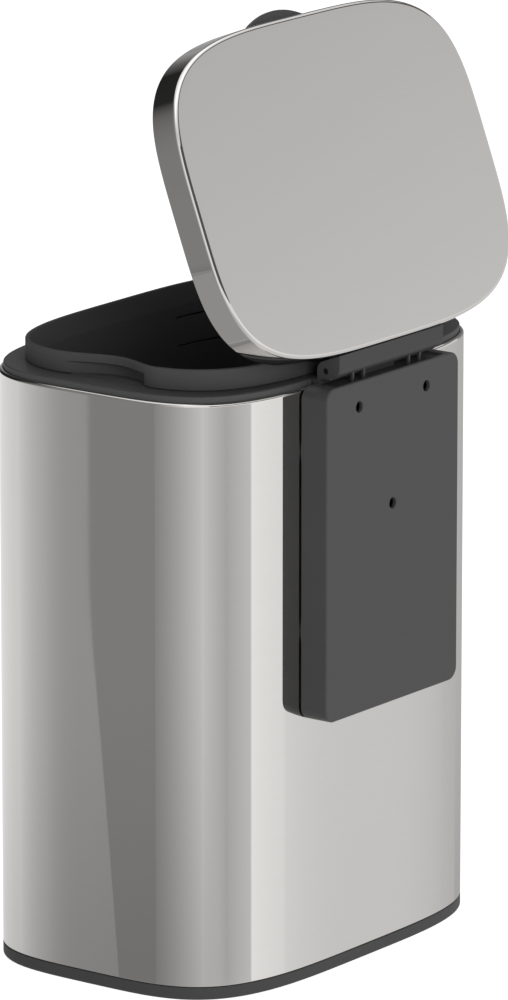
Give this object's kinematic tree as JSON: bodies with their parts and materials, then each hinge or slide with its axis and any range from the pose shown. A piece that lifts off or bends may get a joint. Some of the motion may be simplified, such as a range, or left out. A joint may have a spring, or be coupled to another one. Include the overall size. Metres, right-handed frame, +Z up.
{
  "type": "wall-mounted trash can",
  "caption": "Slim steel trash can that hangs on a hooked wall bracket, with a hinged lid that stays where it is left and a lift-out bucket.",
  "frame": {"origin": "centre of the bracket's back face, on the wall", "axes": "+Z up, +Y into the wall, +X to the right as seen from the room; the lid opens towards the wall"},
  "size_m": [0.2402, 0.1803, 0.4721],
  "materials": {
    "wall_bracket": "satin charcoal",
    "outer_shell": "polished stainless steel",
    "base_cap": "satin charcoal",
    "top_collar": "satin charcoal",
    "hinge_housing": "satin charcoal",
    "hinge_pin": "blackened steel",
    "friction_cartridge_left": "black",
    "friction_cartridge_right": "black",
    "housing_screw_left": "plain steel",
    "housing_screw_right": "plain steel",
    "lid_skin": "polished stainless steel",
    "lid_liner": "black",
    "inner_bucket": "matte charcoal"
  },
  "bodies": {
    "bracket": {"wall_bracket": "wall_bracket"},
    "bin": {"outer_shell": "outer_shell", "base_cap": "base_cap", "top_collar": "top_collar", "hinge_housing": "hinge_housing", "hinge_pin": "hinge_pin", "friction_cartridge_left": "friction_cartridge_left", "friction_cartridge_right": "friction_cartridge_right", "housing_screw_left": "housing_screw_left", "housing_screw_right": "housing_screw_right"},
    "lid": {"lid_skin": "lid_skin", "lid_liner": "lid_liner"},
    "bucket": {"inner_bucket": "inner_bucket"}
  },
  "joints": [
    {"name": "bin_lift", "type": "slide", "parent": "bracket", "child": "bin", "axis": [0, 0, 1], "range_m": [0, 0.01]},
    {"name": "lid_hinge", "type": "hinge", "parent": "bin", "child": "lid", "pos_m": [0, -0.00945, 0.0902], "axis": [1, 0, 0], "range_deg": [0, 69.5]},
    {"name": "bucket_lift", "type": "slide", "parent": "bin", "child": "bucket", "axis": [0, 0, 1], "range_m": [0, 0.0035]}
  ]
}
